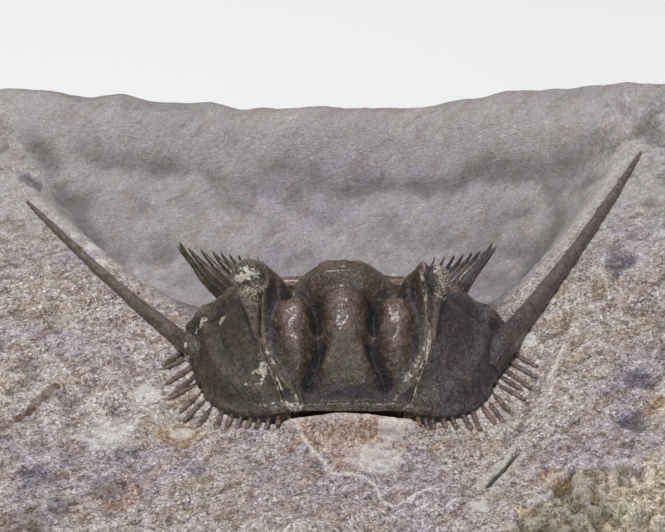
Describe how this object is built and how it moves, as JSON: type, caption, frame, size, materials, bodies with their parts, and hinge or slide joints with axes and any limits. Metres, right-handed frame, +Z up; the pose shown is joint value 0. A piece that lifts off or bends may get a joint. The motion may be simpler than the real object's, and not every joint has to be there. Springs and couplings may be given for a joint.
{
  "type": "fossil leonaspis trilobite",
  "caption": "Spiny Leonaspis trilobite fossil standing out of its block of limestone, with raised eyes, long genal spines and a prepared hollow behind the head.",
  "frame": {"origin": "middle of the block's flat underside, 12 mm below the front edge of the head", "axes": "+Z up from the underside, +Y from the head to the tail, +X to the right of someone who faces the head"},
  "size_m": [0.0552, 0.0483, 0.0179],
  "materials": {
    "limestone": "matt, broken and prepared rock, grey-brown with lilac and ochre patches",
    "shell": "satin, dark olive-brown mineralised shell with fine bright grains, ochre on the eyes"
  },
  "bodies": {
    "root": {"matrix": "limestone", "cranidium": "shell", "free_cheek_left": "shell", "free_cheek_right": "shell", "thorax_segment_01": "shell", "thorax_segment_02": "shell", "thorax_segment_03": "shell", "thorax_segment_04": "shell", "thorax_segment_05": "shell", "thorax_segment_06": "shell", "thorax_segment_07": "shell", "thorax_segment_08": "shell", "thorax_segment_09": "shell", "thorax_segment_10": "shell", "pygidium": "shell"}
  },
  "joints": []
}
